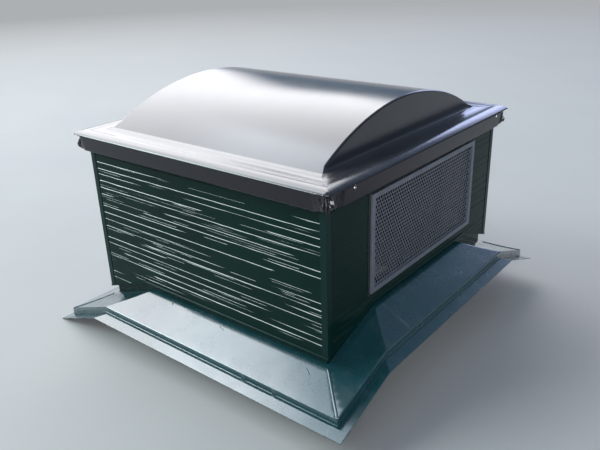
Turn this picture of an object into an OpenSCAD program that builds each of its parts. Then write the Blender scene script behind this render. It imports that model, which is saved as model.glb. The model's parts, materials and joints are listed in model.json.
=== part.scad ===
// Roof cupola: a ventilated skylight turret on the peak of a low hip roof.
// A timber curb is clad in ribbed board, closed by a moulded vault dome, vented
// through two perforated panels, and weathered to the roof by folded flashings.
// Units are millimetres. X runs along the front wall, Y runs back, Z is up.
// Z = 0 is the lowest edge of the flashing, where the curb walls end too.

/* [Body] */
// Width of the clad walls along X
body_w = 910; // [700:10:1300]
// Depth of the clad walls along Y
body_d = 930; // [740:10:1340]
// Height of the curb above the flashing at the front wall
curb_rise = 503; // [400:1:700]

/* [Roof] */
// Pitch of all four roof planes, rise over run
roof_pitch = 0.36; // [0.2:0.01:0.5]
// Distance of the roof peak to the right of the cupola's centre
peak_right = 208; // [0:1:230]
// Distance of the roof peak behind the cupola's centre
peak_back = 15; // [-60:1:60]
// Half the length of the short ridge at the peak, along Y
ridge_half = 16; // [0:1:60]

/* [Cladding] */
// Thickness of the ribbed siding board
siding_t = 14; // [10:1:20]
// Thickness of the plywood sheathing behind it
sheathing_t = 12; // [9:1:18]
// Leg of the corner trims
trim_leg = 18; // [12:1:40]
// Thickness of the corner trims
trim_t = 1.5; // [1:0.5:3]
// Gap between the siding's lower edge and the flashing
siding_gap = 42; // [15:1:60]
// Average height of the courses embossed in the siding
course_h = 22; // [14:1:40]
// Depth of the grooves between the courses
groove_d = 4; // [1:0.5:6]
// How far the drip moulding under the siding stands out from the walls
drip_out = 3; // [2:0.5:6]

/* [Framing] */
// Side of the square corner posts
post = 60; // [45:5:90]
// Height of the top plates and sills
plate_h = 45; // [35:5:60]

/* [Dome] */
// Wall thickness of the moulded dome
dome_t = 4; // [3:0.5:6]
// Overhang of the dome's rim past the walls
rim_over = 36; // [30:1:60]
// Drop of the skirt's lower edge below the top of the curb
skirt_drop = 52; // [35:1:80]
// How far the skirt tapers in from the rim to its lower edge
skirt_taper = 10; // [4:1:16]
// Corner radius of the rim in plan
rim_r = 18; // [16:1:24]
// Radius of the rolled edge between the flange and the skirt
roll_r = 12; // [8:1:14]
// Width of the flange between the vault and the rim's outer edge
flange_w = 93; // [80:1:120]
// Height of the vault's foot and of the rim's crest above the flange's dish
dish_rise = 4; // [1:0.5:8]
// Rise of the vault above its foot
vault_rise = 114; // [80:1:160]
// Lean of the vault's end faces, in degrees from upright
gable_lean = 2.6; // [0:0.2:8]
// Radius of the shoulders between the vault and its end faces
shoulder_r = 5; // [1:0.5:8]

/* [Vents] */
// Distance from the front corner of the walls to a vent panel
vent_front_gap = 188; // [120:1:300]
// Distance from a vent panel to the back corner of the walls
vent_back_gap = 152; // [120:1:300]
// Distance from the top of the curb down to a vent panel
vent_top_gap = 73; // [60:1:200]
// Height of a vent panel's foot above the siding's lower edge
vent_foot = 25; // [8:1:40]
// Face width of the vent frame
vent_face = 14; // [10:1:20]
// How far the vent frame stands out from the siding
vent_proud = 8; // [4:1:14]
// Thickness of the perforated sheet
vent_sheet_t = 1.5; // [1:0.5:3]
// Width of the sheet's edge that the frame clamps to the siding
vent_clamp = 6; // [3:1:8]

/* [Flashing] */
// Thickness of the flashing sheets
sheet_t = 2; // [1:0.5:3]
// Width of the apron past the walls
apron_w = 101; // [80:1:160]
// Height of the apron above the roof
apron_lift = 28; // [15:1:40]
// Width of the flat strip past the apron
strip_w = 30; // [20:1:60]
// How far the upstand laps up behind the siding
upstand_lap = 30; // [20:1:60]
// Width of the beads over the mitres between the aprons
bead_w = 7; // [4:1:12]
// Height of those beads
bead_h = 2; // [1:0.5:4]
// Distance from the front corner of the walls to the lap in a side apron
lap_front_gap = 246; // [120:1:400]
// Width of that lap
lap_w = 9; // [5:1:15]

/* [Hidden] */
half_w = body_w / 2;
half_d = body_d / 2;
reach = apron_w + strip_w;
sheathing_out = siding_t + sheet_t;
frame_out = sheathing_out + sheathing_t;
far = 4 * (body_w + body_d);
// Flat ledge of the flange at the vault's foot, filled by the fillet under the end faces
foot_ledge = 3;
// Height of the drip moulding, and of the hem near the upstand's foot
moulding_h = 4;
// How far that hem stands out from the upstand
hem_out = 3;
// Distance from the upstand's corner to a mitre bead, and from the bead to the apron's fold
bead_clear = 5;
fold_clear = 3;
// Plain border that the siding keeps round a vent
vent_border = 6;
// Height of the roof peak, set so that the lowest edge of the flashing is at 0
peak_z = roof_pitch * (half_w + reach + peak_right);
// Heights of the roof along the front wall and along the middle of the right wall
front_roof_z = peak_z - roof_pitch * (half_d + peak_back - ridge_half);
right_roof_z = peak_z - roof_pitch * (half_w - peak_right);
curb_top = front_roof_z + apron_lift + curb_rise;
siding_lift = apron_lift + siding_gap;
vent_z = right_roof_z + siding_lift + vent_foot;
vent_h = curb_top - vent_top_gap - vent_z;
vent_y = vent_front_gap - half_d;
vent_l = body_d - vent_front_gap - vent_back_gap;
siding_top = curb_top - 4;
post_in = frame_out + post;

green = "#1d3a33";
flash_green = "#3b5a60";
smoke = "#2a2a30";
timber = "#c9a877";
ply = "#b99667";
zinc = "#9a9ca3";

// Space under the roof planes, raised by h
module under_roof(h) {
    fall = roof_pitch * far;
    translate([peak_right, peak_back, peak_z + h]) intersection() {
        translate([0, far, 0]) rotate([90, 0, 0]) linear_extrude(2 * far)
            polygon([[0, 0], [far, -fall], [-far, -fall]]);
        translate([-far, 0, 0]) rotate([90, 0, 90]) linear_extrude(2 * far)
            polygon([
                [ridge_half, 0], [ridge_half + far, -fall],
                [-ridge_half - far, -fall], [-ridge_half, 0]
            ]);
    }
}

// Layer that follows the roof between two heights above it, over a plan outline
module roof_layer(low, high) {
    difference() {
        intersection() {
            under_roof(high);
            translate([0, 0, -far / 8]) linear_extrude(far / 4) children();
        }
        under_roof(low);
    }
}

// Plan outline of one wall's stretch of a ring, from d0 to d1 outside the wall face
module front_band(d0, d1) {
    polygon([[-half_w - d0, -half_d - d0], [half_w + d0, -half_d - d0],
             [half_w + d1, -half_d - d1], [-half_w - d1, -half_d - d1]]);
}

module right_band(d0, d1) {
    polygon([[half_w + d0, -half_d - d0], [half_w + d1, -half_d - d1],
             [half_w + d1, half_d + d1], [half_w + d0, half_d + d0]]);
}

module side_band(side, d0, d1) {
    if (side == "front") front_band(d0, d1);
    if (side == "back") mirror([0, 1, 0]) front_band(d0, d1);
    if (side == "right") right_band(d0, d1);
    if (side == "left") mirror([1, 0, 0]) right_band(d0, d1);
}

// Upright slab in one wall, d0 to d1 outside the wall face, from z0 up to z1
module wall_slab(side, d0, d1, z0, z1) {
    translate([0, 0, z0]) linear_extrude(z1 - z0) side_band(side, d0, d1);
}

// Block that fills a vent's clear opening, grown by m, through a side wall
module vent_block(side, m, d0, d1) {
    sx = side == "right" ? 1 : -1;
    x0 = sx > 0 ? half_w + d0 : -half_w - d1;
    translate([x0, vent_y - m, vent_z - m])
        cube([d1 - d0, vent_l + 2 * m, vent_h + 2 * m]);
}

// Height of the joint over the i-th course, which varies a little from course to course
function joint_z(i) = course_h * (i + 0.15 * sin(137.5 * i));

// Section of the grooves: a level soffit over a ledge that sheds water
module groove_section() {
    back = course_h / 11;
    for (i = [1:floor((curb_top - skirt_drop / 2) / course_h)])
        translate([0, joint_z(i)])
            polygon([[1, 1], [-groove_d, 0], [-groove_d, -back], [1, -back - 1.2 * (groove_d + 1)]]);
}

// Grooves between the trims of one wall, clear of its vent
module grooves(side) {
    wide = side == "front" || side == "back";
    difference() {
        along(side, (wide ? half_w : half_d) - trim_leg - 1) groove_section();
        if (!wide) vent_block(side, vent_border, -siding_t - 1, 2);
    }
}

// Siding board with its lower edge cut along the roof slopes, over a drip moulding
module siding(side) {
    color(green) {
        difference() {
            wall_slab(side, -siding_t, 0, 0, siding_top);
            under_roof(siding_lift);
            grooves(side);
            if (side == "right" || side == "left") vent_block(side, -vent_face, -siding_t - 1, 1);
        }
        roof_layer(siding_lift - moulding_h, siding_lift) side_band(side, -siding_t, drip_out);
    }
}

module sheathing(side) {
    color(ply) difference() {
        wall_slab(side, -frame_out, -sheathing_out, 0, curb_top);
        if (side == "right" || side == "left") vent_block(side, -vent_face, -frame_out - 1, 1);
    }
}

module at_corner(sx, sy) {
    mirror([sx < 0 ? 1 : 0, 0, 0]) mirror([0, sy < 0 ? 1 : 0, 0]) translate([half_w, half_d, 0]) children();
}

// Angle trim over the siding's ends at one corner
module corner_trim(sx, sy) {
    color(green) difference() {
        at_corner(sx, sy) linear_extrude(siding_top) difference() {
            translate([-trim_leg, -trim_leg]) square(trim_leg + trim_t);
            translate([-trim_leg - 1, -trim_leg - 1]) square(trim_leg + 1);
        }
        under_roof(siding_lift);
    }
}

module corner_post(sx, sy) {
    color(timber) at_corner(sx, sy) translate([-post_in, -post_in, plate_h])
        cube([post, post, curb_top - 2 * plate_h]);
}

// Rail between or over the corner posts, at height z
module rail(side, z) {
    color(timber) wall_slab(side, -post_in, -frame_out, z, z + plate_h);
}

// The two studs beside a vent
module vent_studs(side) {
    sx = side == "right" ? 1 : -1;
    x0 = sx > 0 ? half_w - post_in : -half_w + frame_out;
    color(timber) for (y0 = [vent_y + vent_face - plate_h, vent_y + vent_l - vent_face])
        translate([x0, y0, plate_h]) cube([post, plate_h, curb_top - 2 * plate_h]);
}

// Frame with a rebate that clamps the perforated sheet's edge to the siding
module vent_frame(side) {
    color(zinc) difference() {
        vent_block(side, 0, 0, vent_proud);
        vent_block(side, -vent_face, -1, vent_proud + 1);
        vent_block(side, vent_clamp - vent_face, -1, vent_sheet_t);
    }
}

module vent_grille(side) {
    color(zinc) vent_block(side, vent_clamp - vent_face, 0, vent_sheet_t);
}

// Upright flashing that stands on the apron and laps up behind the siding, with a hem near its foot
module upstand(side) {
    color(green) {
        roof_layer(apron_lift, siding_lift + upstand_lap) side_band(side, -sheathing_out, -siding_t);
        roof_layer(apron_lift + moulding_h, apron_lift + 2 * moulding_h)
            side_band(side, -siding_t - sheet_t / 2, hem_out - siding_t);
    }
}

// Raised bead over the mitre between two aprons, from near the upstand's corner outwards
module mitre_bead(sx, sy) {
    start = siding_t - bead_clear;
    roof_layer(apron_lift, apron_lift + bead_h) at_corner(sx, sy) rotate(45)
        translate([-start * sqrt(2), -bead_w / 2]) square([(apron_w - fold_clear + start) * sqrt(2), bead_w]);
}

// Lap where one sheet of a side apron ends on the next
module apron_lap(side) {
    roof_layer(apron_lift - sheet_t / 2, apron_lift + bead_h / 2) mirror([side == "left" ? 1 : 0, 0, 0])
        translate([half_w - siding_t + bead_clear, lap_front_gap - half_d])
            square([apron_w + siding_t - bead_clear, lap_w]);
}

// Apron sheet with its outer edge folded down to the strip
module apron(side) {
    color(flash_green) {
        roof_layer(apron_lift - sheet_t, apron_lift) side_band(side, -sheathing_out, apron_w);
        roof_layer(sheet_t, apron_lift - sheet_t / 2) side_band(side, apron_w - sheet_t, apron_w);
        if (side == "right" || side == "left") apron_lap(side);
        if (side == "front") for (sx = [-1, 1]) mitre_bead(sx, -1);
        if (side == "back") for (sx = [-1, 1]) mitre_bead(sx, 1);
    }
}

module edge_strip(side) {
    color(flash_green) roof_layer(0, sheet_t) side_band(side, apron_w - 20, apron_w + strip_w);
}

// Section of the flange from the vault's foot to the rolled edge: out from the wall, up from the curb
module flange_section() {
    foot = rim_over - flange_w;
    dish = [[foot + foot_ledge, dish_rise], [foot + 12, dish_rise / 4], [foot + 22, 0], [-6, 0],
            [8, dish_rise * 0.4], [rim_over - rim_r, dish_rise / 2]];
    polygon(concat(
        [[foot - dome_t * 0.75, dish_rise]], dish,
        [for (i = [len(dish) - 1:-1:0]) dish[i] + [0, dome_t]],
        [[foot - dome_t * 0.75, dish_rise + dome_t]]
    ));
}

// Section of the rolled edge and the tapered skirt
module rim_section() {
    crest = dome_t + dish_rise / 2;
    roll_c = [rim_over - roll_r, crest - roll_r];
    lower = [rim_over - skirt_taper, -skirt_drop];
    polygon(concat(
        [[rim_over - rim_r, crest - dome_t], [rim_over - rim_r, crest]],
        [for (a = [90:-15:0]) roll_c + roll_r * [cos(a), sin(a)]],
        [lower, lower - [dome_t, 0]],
        [for (a = [0:15:90]) roll_c + (roll_r - dome_t) * [cos(a), sin(a)]]
    ));
}

// Straight run of a section along one wall, to run on both sides of its middle
module along(side, run) {
    if (side == "front") mirror([0, 1, 0]) along("back", run) children();
    if (side == "left") mirror([1, 0, 0]) along("right", run) children();
    if (side == "back") translate([-run, half_d, 0]) rotate([90, 0, 90]) linear_extrude(2 * run) children();
    if (side == "right") translate([half_w, run, 0]) rotate([90, 0, 0]) linear_extrude(2 * run) children();
}

// Flange, rolled edge and skirt swept round the dome
module rim() {
    inset = rim_over - rim_r;
    for (side = ["front", "right", "back", "left"]) {
        wide = side == "front" || side == "back";
        along(side, (wide ? half_w : half_d) + inset) rim_section();
        intersection() {
            along(side, (wide ? half_w : half_d) + inset) flange_section();
            translate([0, 0, -far / 2]) linear_extrude(far) side_band(side, -flange_w, inset);
        }
    }
    for (sx = [-1, 1], sy = [-1, 1])
        at_corner(sx, sy) translate([inset, inset, 0]) rotate_extrude(angle = 90, $fn = 48)
            translate([-inset, 0]) rim_section();
}

// Solid vault with sharp leaning ends: a barrel that is drop lower and an end that is back further in,
// from foot below its own foot line
module sharp_vault(drop, back, foot) {
    half_l = half_w + rim_over - flange_w - back;
    half_c = half_d + rim_over - flange_w;
    radius = (half_c * half_c + vault_rise * vault_rise) / (2 * vault_rise);
    top = vault_rise + 1;
    translate([0, 0, dome_t + dish_rise]) intersection() {
        translate([-half_w, 0, 0]) rotate([90, 0, 90]) linear_extrude(body_w) intersection() {
            translate([0, vault_rise - radius]) circle(r = radius - drop, $fn = 180);
            translate([-half_d, -foot]) square([body_d, top + foot]);
        }
        rotate([90, 0, 0]) translate([0, 0, -body_d]) linear_extrude(2 * body_d) polygon([
            for (s = [-1, 1]) [s * (half_l + tan(gable_lean) * foot), -foot],
            for (s = [1, -1]) [s * (half_l - tan(gable_lean) * top), top]
        ]);
    }
}

// Vault shrunk by m all over, with shoulders rounded in steps from the barrel to the end faces
module vault(m, foot) {
    r = max(shoulder_r - m, 0.5);
    hull() for (a = [0:22.5:90])
        sharp_vault(m + r * (1 - cos(a)), m + r * (1 - sin(a)), foot);
}

// Fillet between the flange and one end face of the vault
module foot_fillet(side) {
    foot = rim_over - flange_w;
    base = dome_t + dish_rise;
    along(side, half_d + foot - foot_ledge) difference() {
        translate([foot - dome_t / 2, base - dome_t / 2]) square(foot_ledge + dome_t / 2);
        translate([foot + foot_ledge, base + foot_ledge]) circle(r = foot_ledge, $fn = 32);
    }
}

module skylight_dome() {
    color(smoke) translate([0, 0, curb_top]) {
        rim();
        foot_fillet("right");
        foot_fillet("left");
        difference() {
            vault(0, dome_t / 2);
            vault(dome_t, dome_t);
        }
    }
}

skylight_dome();
siding("front");  // front_siding
siding("right");  // right_siding
siding("back");  // back_siding
siding("left");  // left_siding
corner_trim(-1, -1);  // front_left_corner_trim
corner_trim(1, -1);  // front_right_corner_trim
corner_trim(-1, 1);  // back_left_corner_trim
corner_trim(1, 1);  // back_right_corner_trim
sheathing("front");  // front_sheathing
sheathing("right");  // right_sheathing
sheathing("back");  // back_sheathing
sheathing("left");  // left_sheathing
corner_post(-1, -1);  // front_left_post
corner_post(1, -1);  // front_right_post
corner_post(-1, 1);  // back_left_post
corner_post(1, 1);  // back_right_post
rail("front", curb_top - plate_h);  // front_top_plate
rail("right", curb_top - plate_h);  // right_top_plate
rail("back", curb_top - plate_h);  // back_top_plate
rail("left", curb_top - plate_h);  // left_top_plate
rail("front", 0);  // front_sill
rail("right", 0);  // right_sill
rail("back", 0);  // back_sill
rail("left", 0);  // left_sill
vent_studs("right");  // right_vent_studs
vent_studs("left");  // left_vent_studs
vent_frame("right");  // right_vent_frame
vent_frame("left");  // left_vent_frame
vent_grille("right");  // right_vent_grille
vent_grille("left");  // left_vent_grille
upstand("front");  // front_upstand
upstand("right");  // right_upstand
upstand("back");  // back_upstand
upstand("left");  // left_upstand
apron("front");  // front_apron
apron("right");  // right_apron
apron("back");  // back_apron
apron("left");  // left_apron
edge_strip("front");  // front_edge_strip
edge_strip("right");  // right_edge_strip
edge_strip("back");  // back_edge_strip
edge_strip("left");  // left_edge_strip
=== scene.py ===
"""Roof cupola: fine pieces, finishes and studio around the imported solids.

A moulded dome, ribbed cladding, perforated vents and folded flashings are built
round the fixed frame. Metres; X runs along the front wall, Y runs back, Z is up.
"""

import itertools
import json
import logging
import math
import random
from dataclasses import dataclass, replace
from enum import Enum
from typing import Iterable, Iterator, Sequence

import bmesh
import bpy
from mathutils import Matrix, Vector, noise

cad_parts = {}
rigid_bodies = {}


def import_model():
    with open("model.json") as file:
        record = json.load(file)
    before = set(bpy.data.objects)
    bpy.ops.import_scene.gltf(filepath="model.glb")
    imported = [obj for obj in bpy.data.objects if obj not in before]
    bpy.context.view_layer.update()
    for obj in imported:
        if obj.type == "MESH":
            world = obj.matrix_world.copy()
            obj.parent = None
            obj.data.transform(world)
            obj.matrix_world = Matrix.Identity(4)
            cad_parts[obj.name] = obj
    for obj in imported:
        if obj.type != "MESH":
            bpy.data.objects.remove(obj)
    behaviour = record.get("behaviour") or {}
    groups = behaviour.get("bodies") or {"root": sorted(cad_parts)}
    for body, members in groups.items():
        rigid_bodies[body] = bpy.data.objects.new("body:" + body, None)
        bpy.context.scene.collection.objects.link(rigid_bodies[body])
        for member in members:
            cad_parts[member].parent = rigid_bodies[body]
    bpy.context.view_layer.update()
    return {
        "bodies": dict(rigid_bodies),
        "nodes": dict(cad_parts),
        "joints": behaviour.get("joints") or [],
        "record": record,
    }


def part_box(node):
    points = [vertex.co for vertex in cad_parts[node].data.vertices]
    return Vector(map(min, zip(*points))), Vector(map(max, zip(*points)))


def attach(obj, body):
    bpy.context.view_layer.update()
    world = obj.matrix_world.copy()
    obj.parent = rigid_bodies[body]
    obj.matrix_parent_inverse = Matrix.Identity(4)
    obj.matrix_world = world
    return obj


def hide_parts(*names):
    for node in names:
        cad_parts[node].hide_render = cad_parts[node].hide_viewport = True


LOG = logging.getLogger("roof_cupola")
MM = 0.001
TRIM_T = 1.5 * MM
TINY = 1e-6
CORNERS = tuple(itertools.product((-1, 1), repeat=2))
# Numbers of a mix node's two colour inputs.
MIX_COLOURS = (6, 7)
SocketValue = bpy.types.NodeSocket | float | Sequence[float]
MeshPart = bmesh.types.BMVert | bmesh.types.BMEdge


class Side(Enum):
    """A wall, by the turn in degrees that carries the front wall to it."""

    FRONT = 0
    RIGHT = 90
    BACK = 180
    LEFT = 270

    @property
    def word(self) -> str:
        """The wall's name in piece names."""
        return self.name.lower()

    @property
    def along_x(self) -> bool:
        """Whether the wall runs along X."""
        return self in (Side.FRONT, Side.BACK)


@dataclass(frozen=True)
class Curb:
    """The clad walls, read from the frame."""

    half_w: float
    half_d: float
    top: float

    @classmethod
    def from_frame(cls) -> "Curb":
        """Measures the walls under the corner trims and the dome's seat on the sheathing.

        Returns:
            The walls.
        """
        low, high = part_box("front_right_corner_trim")
        _, sheathing_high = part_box("front_sheathing")
        return cls(half_w=high.x - TRIM_T, half_d=-low.y - TRIM_T, top=sheathing_high.z)

    def half_length(self, side: Side) -> float:
        """Half the length of a wall."""
        return self.half_w if side.along_x else self.half_d

    def distance(self, side: Side) -> float:
        """How far a wall's face is from the middle."""
        return self.half_d if side.along_x else self.half_w

    def wall(self, side: Side) -> Matrix:
        """Place of a wall, whose X runs along it, Y runs into it, and origin is on its face."""
        turn = Matrix.Rotation(math.radians(side.value), 4, "Z")
        return turn @ Matrix.Translation((0, -self.distance(side), 0))

    def local_box(self, side: Side, node: str) -> tuple[Vector, Vector]:
        """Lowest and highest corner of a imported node, in a wall's own place.

        Args:
            side: The wall.
            node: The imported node.

        Returns:
            The two corners.
        """
        into_wall = self.wall(side).inverted()
        corners = [into_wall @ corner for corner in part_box(node)]
        low, high = (Vector([pick(c[i] for c in corners) for i in range(3)]) for pick in (min, max))
        return low, high

    def outside(self, place: Vector) -> float:
        """How far a point is outside the walls in plan, negative inside them."""
        return max(abs(place.x) - self.half_w, abs(place.y) - self.half_d)


@dataclass(frozen=True)
class Roof:
    """The four planes of the low hip roof that the flashings follow."""

    pitch: float = 0.36
    peak_right: float = 208 * MM
    peak_back: float = 15 * MM
    ridge_half: float = 16 * MM
    flashing_reach: float = 131 * MM
    half_w: float = 455 * MM

    @property
    def peak_z(self) -> float:
        """Height of the peak, with the flashing's lowest edge at zero."""
        return self.pitch * (self.half_w + self.flashing_reach + self.peak_right)

    def height(self, x: float, y: float) -> float:
        """Height of the roof at a point in plan."""
        run = max(abs(x - self.peak_right), abs(y - self.peak_back) - self.ridge_half, 0)
        return self.peak_z - self.pitch * run

    def cut_folds(self, bm: bmesh.types.BMesh) -> None:
        """Cuts a flat plan shape along the hips, so that it can fold over them.

        Args:
            bm: The shape that is changed.
        """
        for end in (-1, 1):
            place = (self.peak_right, self.peak_back + end * self.ridge_half, 0)
            for turn in (-1, 1):
                slice_through(bm, place, (1, turn, 0))

    def drape(self, verts: Iterable[bmesh.types.BMVert], lift: float) -> None:
        """Sets vertices at a height above the roof."""
        for vert in verts:
            vert.co.z = self.height(vert.co.x, vert.co.y) + lift


class NodeTree:
    """Adds nodes to a material, a lamp or the world, and joins them up."""

    def __init__(self, owner: bpy.types.ID) -> None:
        """Turns on the nodes of their owner."""
        owner.use_nodes = True
        self.tree = owner.node_tree

    def add(self, kind: str, **settings: object) -> bpy.types.Node:
        """Adds a node and sets its properties.

        Args:
            kind: The node's type without its prefix.
            **settings: Values of its properties.

        Returns:
            The node.
        """
        node = self.tree.nodes.new("ShaderNode" + kind)
        for key, value in settings.items():
            setattr(node, key, value)
        return node

    def feed(self, socket: bpy.types.NodeSocket, value: SocketValue) -> None:
        """Links a socket to another, or sets its value.

        Args:
            socket: The input socket.
            value: An output socket or a constant.
        """
        if isinstance(value, bpy.types.NodeSocket):
            self.tree.links.new(value, socket)
        else:
            socket.default_value = value

    def split(self, value: bpy.types.NodeSocket) -> bpy.types.bpy_prop_collection:
        """The X, Y and Z sockets of a vector.

        Args:
            value: The vector's socket.

        Returns:
            The three output sockets by name.
        """
        node = self.add("SeparateXYZ")
        self.feed(node.inputs[0], value)
        return node.outputs

    def ease(self, value: bpy.types.NodeSocket, low: float, high: float) -> bpy.types.NodeSocket:
        """Eases from 0 to 1 over a range of a value.

        Args:
            value: The value.
            low: Where the result is 0.
            high: Where the result is 1.

        Returns:
            The result's socket.
        """
        node = self.add("MapRange", interpolation_type="SMOOTHSTEP")
        for socket, number in {"From Min": low, "From Max": high}.items():
            node.inputs[socket].default_value = number
        self.feed(node.inputs["Value"], value)
        return node.outputs[0]

    def maths(
        self, operation: str, first: SocketValue, second: SocketValue
    ) -> bpy.types.NodeSocket:
        """One step of arithmetic on two values.

        Args:
            operation: Name of the operation.
            first: First value or socket.
            second: Second value or socket.

        Returns:
            The result's socket.
        """
        node = self.add("Math", operation=operation)
        self.feed(node.inputs[0], first)
        self.feed(node.inputs[1], second)
        return node.outputs[0]

    def blend(
        self, factor: SocketValue, first: SocketValue, second: SocketValue
    ) -> bpy.types.NodeSocket:
        """Mixes two colours.

        Args:
            factor: Share of the second colour.
            first: First colour or socket.
            second: Second colour or socket.

        Returns:
            The colour socket.
        """
        node = self.add("Mix", data_type="RGBA")
        self.feed(node.inputs[0], factor)
        for number, value in zip(MIX_COLOURS, (first, second)):
            self.feed(node.inputs[number], value)
        return node.outputs[2]


class Painter(NodeTree):
    """Adds nodes to one material and feeds its shader."""

    def __init__(self, name: str, **sockets: float) -> None:
        """Starts a material with a shader whose constant sockets are set here.

        Args:
            name: Name of the material.
            **sockets: Values of constant sockets, with underscores for spaces.
        """
        self.material = bpy.data.materials.new(name)
        super().__init__(self.material)
        self.shader = self.tree.nodes["Principled BSDF"]
        for socket, value in sockets.items():
            self.shader.inputs[socket.replace("_", " ")].default_value = value

    def coordinates(self, scale: Sequence[float] = (1, 1, 1)) -> bpy.types.NodeSocket:
        """Object coordinates, stretched.

        Args:
            scale: How much finer a pattern gets along each axis.

        Returns:
            The vector socket.
        """
        mapping = self.add("Mapping")
        mapping.inputs["Scale"].default_value = scale
        self.feed(mapping.inputs["Vector"], self.add("TexCoord").outputs["Object"])
        return mapping.outputs["Vector"]

    def noise(
        self, scale: float, detail: float = 3, rough: float = 0.5, warp: float = 0,
        vector: bpy.types.NodeSocket | None = None,
    ) -> bpy.types.NodeSocket:
        """Noise as a factor.

        Args:
            scale: Cells per metre.
            detail: Number of finer layers.
            rough: Strength of the finer layers.
            warp: Distortion of the cells.
            vector: Coordinates, or none for the object's own.

        Returns:
            The factor socket.
        """
        node = self.add("TexNoise")
        settings = {"Scale": scale, "Detail": detail, "Roughness": rough, "Distortion": warp}
        for socket, number in settings.items():
            node.inputs[socket].default_value = number
        self.feed(node.inputs["Vector"], vector or self.coordinates())
        return node.outputs[0]

    def spread(
        self, value: bpy.types.NodeSocket, low: float, high: float,
        to_low: float = 0, to_high: float = 1,
    ) -> bpy.types.NodeSocket:
        """Maps a range of a value to another range, and clamps it.

        Args:
            value: The value.
            low: Start of its range.
            high: End of its range.
            to_low: Result at the start.
            to_high: Result at the end.

        Returns:
            The result's socket.
        """
        node = self.add("MapRange")
        settings = {"From Min": low, "From Max": high, "To Min": to_low, "To Max": to_high}
        for socket, number in settings.items():
            node.inputs[socket].default_value = number
        self.feed(node.inputs["Value"], value)
        return node.outputs[0]

    def bump(
        self, height: bpy.types.NodeSocket, depth: float, under: bpy.types.NodeSocket | None = None
    ) -> bpy.types.NodeSocket:
        """Relief from a height.

        Args:
            height: Factor from 0 to 1.
            depth: Depth of the relief in metres.
            under: Normal of a coarser relief below.

        Returns:
            The normal socket.
        """
        node = self.add("Bump")
        node.inputs["Strength"].default_value = 1
        node.inputs["Distance"].default_value = depth
        self.feed(node.inputs["Height"], height)
        if under:
            self.feed(node.inputs["Normal"], under)
        return node.outputs[0]

    def facing_up(self) -> bpy.types.NodeSocket:
        """How far a face looks up, from -1 to 1."""
        return self.split(self.add("NewGeometry").outputs["Normal"])["Z"]

    def dress(self, socket: str, value: bpy.types.NodeSocket) -> None:
        """Feeds one of the shader's sockets."""
        self.feed(self.shader.inputs[socket], value)


def colour(red: float, green: float, blue: float) -> tuple[float, float, float, float]:
    """A colour with full alpha."""
    return (red, green, blue, 1.0)


@dataclass(frozen=True)
class GlossPaint:
    """Glossy paint on metal, rolled on outdoors, with dust and faint sags."""

    name: str
    slot: str
    base: tuple[float, float, float]
    faded: tuple[float, float, float]
    dust: tuple[float, float, float] = (0.11, 0.12, 0.115)
    dust_amount: float = 0.25
    shine: tuple[float, float] = (0.13, 0.24)
    coat: float = 0.3
    ior: float = 1.48
    ripple: float = 0.35 * MM
    stipple: float = 0.05 * MM

    def material(self) -> bpy.types.Material:
        """Builds the node material.

        Returns:
            The material.
        """
        paint = Painter(self.name, Coat_Weight=self.coat, Coat_Roughness=0.1, IOR=self.ior)
        patches = paint.noise(5, 4, 0.55, 0.4)
        fading = paint.spread(patches, 0.35, 0.7)
        tone = paint.blend(fading, colour(*self.base), colour(*self.faded))
        settled = paint.spread(paint.facing_up(), 0.25, 0.95)
        specks = paint.spread(paint.noise(26, 6, 0.65, 0.8), 0.5, 0.78)
        film = paint.maths("MULTIPLY", paint.maths("MULTIPLY", settled, specks), self.dust_amount)
        paint.dress("Base Color", paint.blend(film, tone, colour(*self.dust)))
        paint.dress("Roughness", paint.spread(paint.noise(14, 5, 0.6), 0.3, 0.75, *self.shine))
        wave = paint.bump(paint.noise(7, 2, 0.4, 0.3), self.ripple)
        paint.dress("Normal", paint.bump(paint.noise(260, 2, 0.6), self.stipple, wave))
        return paint.material


@dataclass(frozen=True)
class SmokedPlastic:
    """Dark smoked moulded plastic with settled dust, duller where its gloss attribute is low."""

    name: str = "smoked moulded plastic"
    slot: str = "smoked_dome"
    base: tuple[float, float, float] = (0.013, 0.013, 0.018)
    dust: tuple[float, float, float] = (0.2, 0.19, 0.2)

    def material(self) -> bpy.types.Material:
        """Builds the node material.

        Returns:
            The material.
        """
        skin = Painter(self.name, IOR=1.3, Coat_Roughness=0.17)
        polish = skin.add("Attribute", attribute_name="gloss").outputs["Fac"]
        skin.dress("Coat Weight", skin.spread(polish, 0, 1, 0, 0.9))
        settled = skin.spread(skin.facing_up(), 0.45, 1.0, 0.0, 0.1)
        patches = skin.spread(skin.noise(9, 6, 0.6, 0.5), 0.35, 0.75, 0.4, 1)
        film = skin.maths("MULTIPLY", settled, patches)
        skin.dress("Base Color", skin.blend(film, colour(*self.base), colour(*self.dust)))
        skin.dress("Roughness", skin.spread(skin.noise(11, 6, 0.6, 0.6), 0.3, 0.75, 0.17, 0.28))
        skin.dress("Normal", skin.bump(skin.noise(3.2, 1, 0.4), 0.8 * MM))
        return skin.material


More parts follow.
